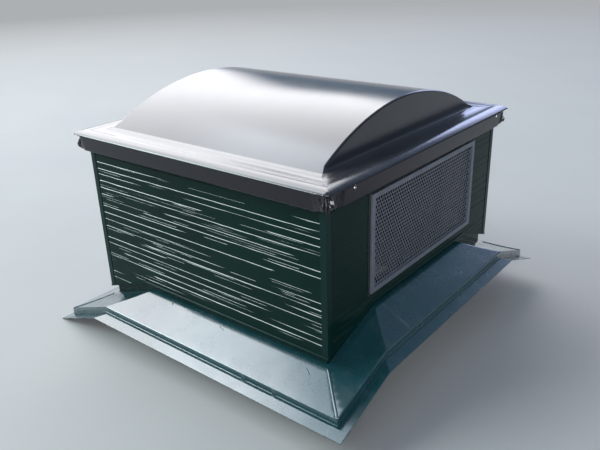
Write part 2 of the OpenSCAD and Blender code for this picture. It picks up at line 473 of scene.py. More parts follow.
@dataclass(frozen=True)
class ZincSheet:
    """Dull zinc-coated sheet with faint spangle and streaks."""

    name: str = "zinc coated sheet"
    slot: str = "zinc_sheet"
    base: tuple[float, float, float] = (0.14, 0.155, 0.19)
    dull: tuple[float, float, float] = (0.095, 0.105, 0.135)

    def material(self) -> bpy.types.Material:
        """Builds the node material.

        Returns:
            The material.
        """
        metal = Painter(self.name, Metallic=0.35, IOR=1.5)
        spangle = metal.noise(55, 3, 0.6, 0.3)
        streaks = metal.noise(18, 4, 0.6, 0.2, metal.coordinates((1, 1, 0.15)))
        broken, streaked = metal.spread(spangle, 0.3, 0.7), metal.spread(streaks, 0.25, 0.7)
        mottled = metal.maths("MULTIPLY", broken, streaked)
        metal.dress("Base Color", metal.blend(mottled, colour(*self.base), colour(*self.dull)))
        metal.dress("Roughness", metal.spread(spangle, 0.3, 0.7, 0.32, 0.5))
        metal.dress("Normal", metal.bump(metal.noise(90, 2, 0.5), 0.05 * MM))
        return metal.material


@dataclass(frozen=True)
class Timber:
    """Sawn wood with grain along one axis, weathered at random."""

    name: str
    slot: str
    light: tuple[float, float, float]
    dark: tuple[float, float, float]
    stretch: tuple[float, float, float]

    def material(self) -> bpy.types.Material:
        """Builds the node material.

        Returns:
            The material.
        """
        wood = Painter(self.name, IOR=1.45)
        grain = wood.noise(34, 5, 0.6, 1.1, wood.coordinates(self.stretch))
        figure = wood.noise(4, 3, 0.5, 0.6, wood.coordinates(self.stretch))
        tone = wood.blend(wood.spread(grain, 0.35, 0.68), colour(*self.light), colour(*self.dark))
        aged = wood.spread(figure, 0.4, 0.75, 0, 0.5)
        wood.dress("Base Color", wood.blend(aged, tone, colour(0.03, 0.028, 0.026)))
        wood.dress("Roughness", wood.spread(grain, 0.3, 0.7, 0.6, 0.85))
        wood.dress("Normal", wood.bump(grain, 0.3 * MM))
        return wood.material


@dataclass(frozen=True)
class PlainFinish:
    """A small part's finish: one tone broken by fine mottling."""

    name: str
    slot: str
    base: tuple[float, float, float]
    metallic: float = 0.0
    rough: tuple[float, float] = (0.3, 0.5)

    def material(self) -> bpy.types.Material:
        """Builds the node material.

        Returns:
            The material.
        """
        finish = Painter(self.name, Metallic=self.metallic, IOR=1.48)
        mottle = finish.noise(60, 4, 0.6)
        darker = [0.6 * c for c in self.base]
        tone = finish.blend(finish.spread(mottle, 0.35, 0.7), colour(*self.base), colour(*darker))
        finish.dress("Base Color", tone)
        finish.dress("Roughness", finish.spread(mottle, 0.3, 0.7, *self.rough))
        finish.dress("Normal", finish.bump(finish.noise(300, 2), 0.06 * MM))
        return finish.material


Finish = GlossPaint | SmokedPlastic | ZincSheet | Timber | PlainFinish

CLADDING = GlossPaint(
    "green cladding paint", "green_cladding", (0.0022, 0.0135, 0.0108), (0.0028, 0.017, 0.0135),
    dust_amount=0.01, coat=0.0, ior=1.18, shine=(0.1, 0.18),
)
CLADDING_LEDGE = replace(
    CLADDING, name="green cladding paint on the ledges", ior=1.58, shine=(0.08, 0.14),
    ripple=0.1 * MM, stipple=0.02 * MM,
)
TRIM = GlossPaint(
    "green trim paint", "green_trim", (0.002, 0.015, 0.0138), (0.0028, 0.019, 0.0172),
    dust_amount=0.03, coat=0.0, ior=1.24,
)
FLASHING = GlossPaint(
    "green flashing paint", "green_flashing", (0.005, 0.034, 0.041), (0.007, 0.043, 0.053),
    dust=(0.09, 0.12, 0.13), shine=(0.2, 0.32), coat=1.0, ior=1.72, ripple=0.8 * MM,
    stipple=0.12 * MM,
)
DOME_SKIN = SmokedPlastic()
ZINC = ZincSheet()
# Softwood tones are far darker than real sawn softwood: painted shade for the closed, unlit inside
# of the curb that shows through the vents.
PALE_WOOD_IN_PAINTED_SHADE = (0.06, 0.046, 0.035)
DARK_WOOD_IN_PAINTED_SHADE = (0.036, 0.027, 0.021)
SOFTWOOD_UPRIGHT = Timber("upright softwood in painted shade", "softwood", PALE_WOOD_IN_PAINTED_SHADE, DARK_WOOD_IN_PAINTED_SHADE, (6, 6, 0.5))
SOFTWOOD_X = replace(SOFTWOOD_UPRIGHT, name="softwood along x in painted shade", stretch=(0.5, 6, 6))
SOFTWOOD_Y = replace(SOFTWOOD_UPRIGHT, name="softwood along y in painted shade", stretch=(6, 0.5, 6))
# Plywood tones are darkened the same way, as painted shade for the unlit inside.
PLYWOOD = Timber(
    "plywood face in painted shade", "plywood", (0.032, 0.026, 0.022), (0.018, 0.015, 0.013), (0.4, 0.4, 3)
)
SEALANT = PlainFinish("grey sealant", "green_trim", (0.012, 0.016, 0.017), rough=(0.45, 0.65))
STAINLESS = PlainFinish(
    "stainless screw", "zinc_sheet", (0.55, 0.55, 0.56), metallic=1.0, rough=(0.2, 0.35)
)


class Workshop:
    """Turns bmesh shapes into pieces, and keeps one material for each finish."""

    def __init__(self, frame: dict) -> None:
        """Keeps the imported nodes."""
        self.nodes = frame["nodes"]
        self.materials: dict[str, bpy.types.Material] = {}

    def material(self, finish: Finish) -> bpy.types.Material:
        """The material of a finish, built once.

        Args:
            finish: The finish.

        Returns:
            The material.
        """
        if finish.name not in self.materials:
            self.materials[finish.name] = finish.material()
        return self.materials[finish.name]

    def piece(
        self, name: str, bm: bmesh.types.BMesh, finish: Finish, replaces: Sequence[str] = (),
        crease: float = 35, marked: Finish | None = None, even: bool = False,
    ) -> bpy.types.Object:
        """Makes an object of a finished shape, dressed and riding on the body.

        Args:
            name: Name of the piece.
            bm: The shape, which is used up.
            finish: Its finish.
            replaces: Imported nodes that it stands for.
            crease: Edges sharper than this angle in degrees stay sharp.
            marked: A second finish, for the faces whose material number is one.
            even: Whether flats stay flat beside roundings.

        Returns:
            The object.
        """
        mesh = bpy.data.meshes.new(name)
        bm.to_mesh(mesh)
        bm.free()
        mesh.materials.append(self.material(finish))
        if marked:
            mesh.materials.append(self.material(marked))
        mesh.polygons.foreach_set("use_smooth", [True] * len(mesh.polygons))
        mesh.set_sharp_from_angle(angle=math.radians(crease))
        piece = bpy.data.objects.new(name, mesh)
        bpy.context.scene.collection.objects.link(piece)
        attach(piece, "root")
        if replaces:
            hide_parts(*replaces)
        if even:
            self.even_normals(piece)
        LOG.info("%s: %d faces", name, len(mesh.polygons))
        return piece

    def even_normals(self, piece: bpy.types.Object) -> None:
        """Weights the normals by face area, so that flats stay flat beside roundings."""
        modifier = piece.modifiers.new("even normals", "WEIGHTED_NORMAL")
        modifier.keep_sharp = True

    def repaint(self, node: str, finish: Finish) -> None:
        """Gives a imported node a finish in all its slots.

        Args:
            node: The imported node.
            finish: The finish.
        """
        mesh = self.nodes[node].data
        if not mesh.materials:
            mesh.materials.append(None)
        for index in range(len(mesh.materials)):
            mesh.materials[index] = self.material(finish)
        LOG.info("%s: repainted", node)

    def softened(self, node: str, radius: float, segments: int = 2) -> bmesh.types.BMesh:
        """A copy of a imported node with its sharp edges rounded.

        Args:
            node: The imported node.
            radius: Width of the rounding in metres.
            segments: Steps across the rounding.

        Returns:
            The shape.
        """
        bm = bmesh.new()
        bm.from_mesh(self.nodes[node].data)
        bmesh.ops.remove_doubles(bm, verts=bm.verts, dist=10 * TINY)
        bmesh.ops.dissolve_limit(bm, angle_limit=math.radians(0.5), verts=bm.verts, edges=bm.edges)
        round_off(bm, sharp_edges(bm, 25), radius, segments)
        return bm


def corner_name(depth: int, hand: int) -> str:
    """A corner's name in piece names, from the signs of its Y and X."""
    return f"{'back' if depth > 0 else 'front'}_{'right' if hand > 0 else 'left'}"


def unique(parts: Iterable[MeshPart]) -> list[MeshPart]:
    """Each vertex or edge once, always in the same order, so that each run gives the same shape."""
    return list(dict.fromkeys(parts))


def slice_through(bm: bmesh.types.BMesh, place: Sequence[float], normal: Sequence[float]) -> None:
    """Cuts a shape along a plane and keeps both sides."""
    geom = bm.verts[:] + bm.edges[:] + bm.faces[:]
    bmesh.ops.bisect_plane(bm, geom=geom, dist=TINY, plane_co=place, plane_no=normal)


def draw_out(
    bm: bmesh.types.BMesh, edges: Sequence[bmesh.types.BMEdge]
) -> tuple[list[bmesh.types.BMVert], list[bmesh.types.BMEdge]]:
    """Extrudes a chain of edges.

    Args:
        bm: The shape that is changed.
        edges: The edges.

    Returns:
        The new vertices, and the new edges between them.
    """
    extruded = bmesh.ops.extrude_edge_only(bm, edges=edges)["geom"]
    verts = [g for g in extruded if isinstance(g, bmesh.types.BMVert)]
    fresh = set(verts)
    edges = [g for g in extruded if isinstance(g, bmesh.types.BMEdge)]
    return verts, [edge for edge in edges if all(v in fresh for v in edge.verts)]


def thicken(bm: bmesh.types.BMesh, shift: Sequence[float]) -> None:
    """Turns flat faces into a solid that reaches from them to the same faces moved by a shift.

    Args:
        bm: The shape that is changed.
        shift: The way from the given faces to the new ones.
    """
    extruded = bmesh.ops.extrude_face_region(bm, geom=bm.faces[:], use_keep_orig=True)["geom"]
    verts = [g for g in extruded if isinstance(g, bmesh.types.BMVert)]
    bmesh.ops.translate(bm, verts=verts, vec=shift)
    bmesh.ops.recalc_face_normals(bm, faces=bm.faces)


def sharp_edges(bm: bmesh.types.BMesh, angle: float = 60) -> list[bmesh.types.BMEdge]:
    """Edges between two faces that turn by more than an angle in degrees."""
    limit = math.radians(angle)
    return [e for e in bm.edges if len(e.link_faces) == 2 and e.calc_face_angle(0) > limit]


def round_off(
    bm: bmesh.types.BMesh, edges: Sequence[bmesh.types.BMEdge], radius: float, segments: int = 2
) -> None:
    """Bevels edges to a rounding.

    Args:
        bm: The shape that is changed.
        edges: The edges.
        radius: Width of the rounding.
        segments: Steps across the rounding.
    """
    bmesh.ops.bevel(
        bm, geom=edges, offset=radius, offset_type="OFFSET", segments=segments,
        profile=0.5, affect="EDGES", clamp_overlap=True, material=-1,
    )


def block(
    bm: bmesh.types.BMesh, low: Sequence[float], high: Sequence[float]
) -> list[bmesh.types.BMVert]:
    """Adds a box between two corners.

    Args:
        bm: The shape that is changed.
        low: Lowest corner.
        high: Highest corner.

    Returns:
        Its vertices.
    """
    size = Vector(high) - Vector(low)
    middle = (Vector(high) + Vector(low)) / 2
    place = Matrix.Translation(middle) @ Matrix.Diagonal((*size, 1))
    return bmesh.ops.create_cube(bm, size=1, matrix=place)["verts"]


def plan_face(
    bm: bmesh.types.BMesh, corners: Sequence[tuple[float, float]]
) -> list[bmesh.types.BMVert]:
    """Adds a flat face at zero height.

    Args:
        bm: The shape that is changed.
        corners: Corners in plan.

    Returns:
        Its vertices.
    """
    verts = [bm.verts.new((x, y, 0)) for x, y in corners]
    bm.faces.new(verts)
    return verts


def smooth_step(value: float) -> float:
    """Eases from 0 to 1 while the value goes from 0 to 1."""
    value = min(max(value, 0.0), 1.0)
    return value * value * (3 - 2 * value)


@dataclass(frozen=True)
class CornerFolds:
    """How the corners of the dome's skirt are crinkled, in metres, cells per metre and shares."""

    start: float = 4 * MM
    reach: tuple[float, float] = (60 * MM, 40 * MM)
    plateau: float = 1.25
    pitch: float = 15 * MM
    depth: float = 15 * MM
    drift: float = 7 * MM
    drift_cells: float = 30
    pinch: tuple[float, float] = (0.14, 0.84)
    pinch_wander: float = 0.12
    pinch_cells: float = 55
    crumple_cells: float = 70
    sharpness: float = 1.4
    growth: float = 5
    valley: float = 0.8
    waist: float = 1.1
    tuck: float = 0.4
    crumple: float = 0.3


@dataclass
class MouldedDome:
    """The one-piece dome: vault, flat ends, dished flange, rolled edge and tapered skirt."""

    curb: Curb
    wall: float = 4 * MM
    rim_over: float = 36 * MM
    skirt_drop: float = 52 * MM
    skirt_taper: float = 10 * MM
    corner_radius: float = 18 * MM
    roll_radius: float = 12 * MM
    roll_width: float = 31 * MM
    flange_width: float = 93 * MM
    dish: float = 4 * MM
    dish_start: float = 3 * MM
    dish_foot: float = 22 * MM
    dish_end: float = 15 * MM
    dish_crest: float = 20 * MM
    vault_rise: float = 114 * MM
    gable_lean: float = 2.6
    settle: float = 0.4 * MM
    shoulder_radius: float = 6 * MM
    foot_radius: float = 6 * MM
    bend_steps: int = 5
    roll_steps: int = 12
    skirt_rows: int = 18
    corner_steps: int = 14
    flange_rings: tuple[int, ...] = (15, 12, 9, 6, 3, 0, -4, -8, -14, -22, -34, -42, -46)
    folds: CornerFolds = CornerFolds()
    gloss_reach: float = 24 * MM
    gloss_plateau: float = 2.2
    gloss_foot: float = -7 * MM
    gloss_fade: float = 6 * MM
    fine_step: float = 2 * MM
    fine_steps: int = 28
    step_growth: float = 1.35
    coarse_step: float = 30 * MM

    @property
    def inset(self) -> float:
        """How far outside the walls the corner roundings have their centres."""
        return self.rim_over - self.corner_radius

    @property
    def foot(self) -> float:
        """How far outside the walls the vault's foot is, which is negative."""
        return self.rim_over - self.flange_width

    @property
    def gable_foot(self) -> float:
        """How far outside the walls the rounding at the foot of a gable starts."""
        return self.foot + self.foot_radius

    def stations(self, half: float) -> list[float]:
        """Places along a straight run of the rim, from -half to half, close together near its ends.

        Args:
            half: Half the length of the run.

        Returns:
            The places.
        """
        places = [0.0]
        step = self.fine_step
        while places[-1] < half:
            if len(places) > self.fine_steps:
                step = min(step * self.step_growth, self.coarse_step)
            places.append(places[-1] + step)
        places = [p * half / places[-1] for p in places]
        return [p - half for p in places] + [half - p for p in reversed(places[:-1])]

    def flange_height(self, out: float) -> float:
        """Height of the flange above the curb, from the vault's foot to the rim's crest.

        Args:
            out: Distance outside the walls.

        Returns:
            The height.
        """
        foot_part = 1 - smooth_step((out - self.foot - self.dish_start) / self.dish_foot)
        crest_part = smooth_step((out + self.dish_end) / self.dish_crest)
        dished = self.dish * (foot_part + crest_part / 2)
        return self.wall + dished - self.settle - self.roll_drop(out)

    def roll_drop(self, out: float) -> float:
        """How far the rolled edge has fallen below its crest at a distance outside the walls."""
        share = max(0.0, (out - self.rim_over) / self.roll_width + 1)
        return self.roll_radius * (1 - math.sqrt(max(0.0, 1 - share ** 2)))

    def rim_profile(self) -> list[tuple[float, float]]:
        """Rolled edge and skirt, as distance outside the walls and height above the curb.

        Returns:
            The points, from the flange down.
        """
        start = math.asin(1 - self.corner_radius / self.roll_width)
        turn, steps, rows = math.pi / 2 - start, self.roll_steps, self.skirt_rows
        angles = [start + turn * i / steps for i in range(steps + 1)]
        outs = [self.rim_over - self.roll_width * (1 - math.sin(a)) for a in angles]
        points = [(out, self.flange_height(out)) for out in outs]
        out, height = points[-1]
        out_run, fall = self.rim_over - self.skirt_taper - out, -self.skirt_drop - height
        points += [(out + out_run * i / rows, height + fall * i / rows) for i in range(1, rows + 1)]
        return points

    def sweep_rim(self, bm: bmesh.types.BMesh) -> None:
        """Sweeps the rim's profile round the four sides.

        Args:
            bm: The shape that is changed.
        """
        half_x = self.curb.half_w + self.inset
        half_y = self.curb.half_d + self.inset
        profile = self.rim_profile()
        face = -half_y + self.inset
        chain = [bm.verts.new((half_x, face - out, self.curb.top + z)) for out, z in profile]
        last = chain + [bm.edges.new(pair) for pair in zip(chain, chain[1:])]
        runs = [(1, -1, half_y, (0, 1, 0)), (1, 1, half_x, (-1, 0, 0)),
                (-1, 1, half_y, (0, -1, 0)), (-1, -1, half_x, (1, 0, 0))]
        for sign_x, sign_y, half, heading in runs:
            turned = bmesh.ops.spin(
                bm, geom=last, cent=(sign_x * half_x, sign_y * half_y, 0), axis=(0, 0, 1),
                dvec=(0, 0, 0), angle=math.pi / 2, steps=self.corner_steps, use_merge=False,
            )
            last = turned["geom_last"]
            places = self.stations(half)
            for here, there in zip(places, places[1:]):
                verts, edges = draw_out(bm, [g for g in last if isinstance(g, bmesh.types.BMEdge)])
                bmesh.ops.translate(bm, verts=verts, vec=Vector(heading) * (there - here))
                last = verts + edges
        bmesh.ops.remove_doubles(bm, verts=bm.verts, dist=20 * TINY)

    def sweep_flange(self, bm: bmesh.types.BMesh) -> None:
        """Draws the rim's inner edge in, ring by ring, to the vault's foot.

        Args:
            bm: The shape that is changed.
        """
        places = [self.inset] + [r * MM for r in self.flange_rings] + [self.foot]
        edges = [e for e in bm.edges if e.is_boundary
                 and all(abs(self.curb.outside(v.co) - self.inset) < 50 * TINY for v in e.verts)]
        for here, there in zip(places, places[1:]):
            verts, edges = draw_out(bm, edges)
            for vert in verts:
                reach = max(there, self.gable_foot) - max(here, self.gable_foot)
                vert.co.x *= 1 + reach / (self.curb.half_w + max(here, self.gable_foot))
                vert.co.y *= (self.curb.half_d + there) / (self.curb.half_d + here)
                vert.co.z = self.curb.top + self.flange_height(there)

    def end_profile(self, rise: float) -> list[tuple[float, float]]:
        """Section through one end of the vault: foot rounding, leaning gable and shoulder.

        Args:
            rise: Height of the vault there.

        Returns:
            Points as distance in from the foot and height above it, from the foot up.
        """
        foot = min(self.foot_radius, 0.45 * rise)
        shoulder = min(self.shoulder_radius, 0.45 * rise)
        turns = [math.pi / 2 * i / self.bend_steps for i in range(self.bend_steps + 1)]
        lean = math.tan(math.radians(self.gable_lean)) * (rise - foot - shoulder)
        low = [(foot * math.sin(a), foot * (1 - math.cos(a))) for a in turns]
        high = [(foot + lean + shoulder * (1 - math.cos(a)), rise - shoulder * (1 - math.sin(a)))
                for a in turns]
        return low + high

    def raise_vault(self, bm: bmesh.types.BMesh) -> None:
        """Raises the vault over its foot, with its two gables.

        Args:
            bm: The shape that is changed.
        """
        half_l = self.curb.half_w + self.gable_foot
        half_c = self.curb.half_d + self.foot
        xs, ys = ([place / half for place in self.stations(half)]
                  for half in (self.curb.half_w + self.inset, self.curb.half_d + self.inset))
        base = self.curb.top + self.flange_height(self.foot)
        radius = (half_c ** 2 + self.vault_rise ** 2) / (2 * self.vault_rise)
        ends = len(self.end_profile(self.vault_rise)) - 1
        last = len(xs) - 1 + 2 * ends
        grid = bmesh.ops.create_grid(bm, x_segments=last, y_segments=len(ys) - 1, size=1)["verts"]
        for vert in grid:
            column = round((vert.co.x + 1) / 2 * last)
            row = round((vert.co.y + 1) / 2 * (len(ys) - 1))
            y = ys[row] * half_c
            rise = max(0.0, math.sqrt(radius ** 2 - y ** 2) - (radius - self.vault_rise))
            profile = self.end_profile(rise)
            inward, height = profile[min(column, last - column, ends)]
            share = xs[min(max(column - ends, 0), len(xs) - 1)]
            vert.co = (share * (half_l - inward), y, base + height)
        bmesh.ops.remove_doubles(bm, verts=bm.verts, dist=50 * TINY)

    def corner_run(self, place: Vector) -> float:
        """How far along the rim a point is from its corner's middle, negative along the side wall.

        Args:
            place: The point.

        Returns:
            The distance.
        """
        side_x = abs(place.x) - self.curb.half_w - self.inset
        side_y = abs(place.y) - self.curb.half_d - self.inset
        quarter = self.corner_radius * math.pi / 4
        if side_x > 0 and side_y > 0:
            return (math.atan2(side_y, side_x) - math.pi / 4) * self.corner_radius
        return quarter - side_x if side_y > 0 else side_y - quarter

    def gloss_at(self, place: Vector) -> float:
        """How glossy the skin is: dull on the weathered skirt, glossy above it and in its folds.

        Args:
            place: The point.

        Returns:
            The gloss from 0 to 1.
        """
        above = smooth_step((place.z - self.curb.top - self.gloss_foot) / self.gloss_fade)
        folded = smooth_step(self.gloss_plateau - abs(self.corner_run(place)) / self.gloss_reach)
        return max(above, folded)

    def fold_depth_at(self, place: Vector) -> float:
        """How far the skirt is folded in at a point, which is nothing away from the corners.

        Args:
            place: The point.

        Returns:
            The depth in metres.
        """
        folds = self.folds
        along = self.corner_run(place)
        below = (self.curb.top - folds.start - place.z) / (self.skirt_drop - folds.start)
        reach = folds.reach[0] if along < 0 else folds.reach[1]
        if below <= 0 or abs(along) > reach:
            return 0.0

        def ripple(cells: float, layer: float, height: float = 0) -> float:
            """Noise along the rim, other at each corner and in each layer."""
            corner = Vector((math.copysign(3, place.x), math.copysign(5, place.y), 0))
            return noise.noise(corner + Vector((along * cells, layer, height * cells)))

        drift = folds.drift * ripple(folds.drift_cells, 0, place.z)
        lobe = abs(math.sin(math.pi * (along + drift) / folds.pitch))
        wander = folds.pinch_wander * ripple(folds.pinch_cells, 7)
        pinch, bulge = (edge + wander for edge in folds.pinch)
        waist = smooth_step(below / pinch) * smooth_step((bulge - below) / (bulge - pinch))
        tuck = folds.tuck * smooth_step((below - bulge) / (1 - bulge))
        valley = (1 - lobe) ** folds.sharpness * smooth_step(below * folds.growth)
        crumple = ripple(folds.crumple_cells, 3, place.z)
        fade = smooth_step(folds.plateau - abs(along) / reach)
        inward = folds.valley * valley + folds.waist * waist + tuck + folds.crumple * crumple
        return folds.depth * fade * max(0.0, inward)

    def crinkle_corners(self, bm: bmesh.types.BMesh) -> None:
        """Folds the skirt in at the corners, where the sheet had too much stuff to stretch flat.

        Args:
            bm: The shape that is changed.
        """
        gloss = bm.verts.layers.float.new("gloss")
        for vert in bm.verts:
            vert[gloss] = self.gloss_at(vert.co)
            depth = self.fold_depth_at(vert.co)
            if depth > 0 and self.curb.outside(vert.co) > self.inset:
                vert.co -= vert.normal * depth

    def build(self, shop: Workshop) -> None:
        """Builds the dome as a skin with a wall.

        Args:
            shop: The workshop that makes the pieces.
        """
        bm = bmesh.new()
        self.sweep_rim(bm)
        self.sweep_flange(bm)
        self.raise_vault(bm)
        bmesh.ops.recalc_face_normals(bm, faces=bm.faces)
        bm.normal_update()
        self.crinkle_corners(bm)
        dome = shop.piece("moulded_dome", bm, DOME_SKIN, ["skylight_dome"], crease=60)
        shell = dome.modifiers.new("wall", "SOLIDIFY")
        shell.thickness = self.wall
        shell.offset = -1
        shop.even_normals(dome)


@dataclass(frozen=True)
class GrooveKind:
    """A family of grooves: their depths, strokes per metre, and how much of their length is cut."""

    depths: tuple[float, float]
    strokes: float
    fullness: float
    tremors: float = 24
    steady: float = 0.85
    tremble: float = 0.5


@dataclass(frozen=True)
class Groove:
    """One long groove in a board, which deepens and runs out along its length."""

    kind: GrooveKind
    height: float
    depth: float
    seed: float
    run_out: float
    room: float

    def depth_at(self, along: float) -> float:
        """Depth of the groove at a place along the wall.

        Args:
            along: The place along the wall.

        Returns:
            The depth.
        """
        kind, seed = self.kind, self.seed
        stroke = noise.noise(Vector((along * kind.strokes + seed, seed * 3.1, 0)))
        tremor = noise.noise(Vector((along * kind.tremors + seed, 4, seed)))
        cut = smooth_step((stroke + kind.fullness) / self.run_out)
        return self.depth * cut * (kind.steady + kind.tremble * tremor)


@dataclass
class GroovedCladding:
    """Siding boards embossed with long grooves that shed water over sloping ledges."""

    curb: Curb
    roof: Roof
    board_t: float = 14 * MM
    foot_lift: float = 70 * MM
    course: tuple[float, float] = (19 * MM, 25 * MM)
    deep: GrooveKind = GrooveKind((1.1 * MM, 2.2 * MM), 2.6, 0.17)
    fine: GrooveKind = GrooveKind((0.35 * MM, 0.75 * MM), 8.0, -0.08)
    fine_places: tuple[float, ...] = (0.3, 0.55, 0.8)
    fine_chance: float = 0.42
    run_outs: tuple[float, ...] = (0.06, 0.12, 0.3)
    wander: float = 1.2
    noise_seeds: float = 90
    first_room: float = 5 * MM
    spare_room: float = 0.2 * MM
    spare_foot: float = 10 * MM
    plain_foot: float = 8 * MM
    plain_head: float = 12 * MM
    ledge_normal: float = 0.3
    seed: int = 40
    ledge_slope: float = 1.2
    soffit: float = 0.6 * MM
    station: float = 4 * MM
    trim_cover: float = 3 * MM
    trim_edge: float = 0.7 * MM
    vent_face: float = 14 * MM

    def groove(
        self, rng: random.Random, kind: GrooveKind, height: float, below: list[Groove]
    ) -> Groove:
        """One groove of random depth and course, over the ones found so far.

        Args:
            rng: Source of the random values.
            kind: The groove's family.
            height: Its height before it wanders.
            below: The grooves found so far.

        Returns:
            The groove.
        """
        place = height + rng.uniform(-self.wander, self.wander) * MM
        floor = below[-1].height + self.soffit if below else place - self.first_room
        depth, seed = rng.uniform(*kind.depths), rng.uniform(0, self.noise_seeds)
        run_out = rng.choice(self.run_outs)
        return Groove(kind, place, depth, seed, run_out, place - floor - self.spare_room)

    def grooves(self, rng: random.Random, low: float, high: float) -> list[Groove]:
        """Deep grooves between the courses, with finer ones inside some courses.

        Args:
            rng: Source of the random values.
            low: Foot of the board.
            high: Head of the board.

        Returns:
            The grooves from the foot up.
        """
        found = []
        height = low
        while height < high - self.plain_head:
            rise = rng.uniform(*self.course)
            found.append(self.groove(rng, self.deep, height, found))
            for share in self.fine_places:
                if rng.random() < self.fine_chance:
                    found.append(self.groove(rng, self.fine, height + rise * share, found))
            height += rise
        return found

    def emboss(self, bm: bmesh.types.BMesh, side: Side, low: float, high: float) -> None:
        """Makes the board's face, a grid with three rows for each groove.

        Args:
            bm: The shape that is changed.
            side: The wall.
            low: Foot of the face.
            high: Head of the face.
        """
        half = self.curb.half_length(side) - self.trim_cover
        grooves = self.grooves(random.Random(self.seed + side.value), low + self.plain_foot, high)
        columns = round(2 * half / self.station)
        rows = 3 * len(grooves) + 1
        grid = bmesh.ops.create_grid(bm, x_segments=columns, y_segments=rows, size=1)["verts"]
        for vert in grid:
            along = vert.co.x * half
            number, part = divmod(round((vert.co.y + 1) / 2 * rows) - 1, 3)
            if number < 0 or number >= len(grooves):
                vert.co = (along, 0, low if number < 0 else high)
                continue
            groove = grooves[number]
            depth = groove.depth_at(along)
            ledge = min(self.ledge_slope * depth, groove.room)
            rise = (-ledge, 0, self.soffit * min(1, depth / MM))[part]
            vert.co = (along, depth if part == 1 else 0, groove.height + rise)
        bm.normal_update()
        for face in bm.faces:
            face.material_index = int(face.normal.z > self.ledge_normal)

    def clip_to_roof(self, bm: bmesh.types.BMesh) -> None:
        """Cuts the board's foot along the roof planes.

        Args:
            bm: The shape that is changed.
        """
        roof = self.roof
        centre = Vector((roof.peak_right, roof.peak_back, roof.peak_z + self.foot_lift))
        self.roof.cut_folds(bm)
        for heading in ((0, -1), (1, 0), (0, 1), (-1, 0)):
            shift = Vector((0, heading[1] * roof.ridge_half, 0))
            normal = Vector((heading[0] * roof.pitch, heading[1] * roof.pitch, 1))
            faces = [f for f in bm.faces if self.sector(f.calc_center_median()) == heading]
            verts = unique(v for f in faces for v in f.verts)
            edges = unique(e for f in faces for e in f.edges)
            bmesh.ops.bisect_plane(
                bm, geom=verts + edges + faces, dist=TINY, plane_co=centre + shift,
                plane_no=normal, clear_inner=True,
            )

    def sector(self, place: Vector) -> tuple[int, int]:
        """Which roof plane a point lies over, as the plane's heading in plan.

        Args:
            place: The point.

        Returns:
            The plane's heading in plan.
        """
        right = place.x - self.roof.peak_right
        back = place.y - self.roof.peak_back
        if abs(right) >= abs(back) - self.roof.ridge_half:
            return (1, 0) if right > 0 else (-1, 0)
        return (0, 1) if back > 0 else (0, -1)

    def cut_window(self, bm: bmesh.types.BMesh, side: Side) -> None:
        """Cuts the face open behind a vent, in the wall's own place.

        Args:
            bm: The shape that is changed.
            side: The wall.
        """
        low, high = self.curb.local_box(side, f"{side.word}_vent_frame")
        left, right = low.x + self.vent_face, high.x - self.vent_face
        foot, head = low.z + self.vent_face, high.z - self.vent_face
        for place, normal in (((left, 0, 0), (1, 0, 0)), ((right, 0, 0), (1, 0, 0)),
                              ((0, 0, foot), (0, 0, 1)), ((0, 0, head), (0, 0, 1))):
            slice_through(bm, place, normal)
        inside = [f for f in bm.faces if left < f.calc_center_median().x < right
                  and foot < f.calc_center_median().z < head]
        bmesh.ops.delete(bm, geom=inside, context="FACES")

    def back_up(self, bm: bmesh.types.BMesh, side: Side) -> None:
        """Draws the face's edges back through the board and closes its back.

        Args:
            bm: The shape that is changed.
            side: The wall.
        """
        into_wall = self.curb.wall(side).inverted()
        outward = self.curb.wall(side).to_3x3() @ Vector((0, -1, 0))
        verts, back = draw_out(bm, [e for e in bm.edges if e.is_boundary])
        for vert in verts:
            vert.co -= outward * (self.board_t - (into_wall @ vert.co).y)
        bmesh.ops.triangle_fill(bm, use_beauty=True, edges=back, normal=-outward)
        bmesh.ops.recalc_face_normals(bm, faces=bm.faces)

    def build_board(self, shop: Workshop, side: Side) -> None:
        """Builds one wall's embossed board.

        Args:
            shop: The workshop that makes the pieces.
            side: The wall.
        """
        low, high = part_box(f"{side.word}_siding")
        bm = bmesh.new()
        self.emboss(bm, side, low.z - self.spare_foot, high.z)
        if f"{side.word}_vent_frame" in shop.nodes:
            self.cut_window(bm, side)
        bmesh.ops.transform(bm, matrix=self.curb.wall(side), verts=bm.verts)
        self.clip_to_roof(bm)
        bmesh.ops.remove_doubles(bm, verts=bm.verts, dist=5 * TINY)
        self.back_up(bm, side)
        shop.piece(f"{side.word}_siding_board", bm, CLADDING, [f"{side.word}_siding"],
                   crease=24, marked=CLADDING_LEDGE, even=True)

    def build(self, shop: Workshop) -> None:
        """Builds all four walls and their corner trims.

        Args:
            shop: The workshop that makes the pieces.
        """
        for side in Side:
            self.build_board(shop, side)
        for corner in CORNERS:
            node = f"{corner_name(*corner)}_corner_trim"
            angle = shop.softened(node, self.trim_edge, 3)
            shop.piece(f"{node}_angle", angle, TRIM, [node], even=True)


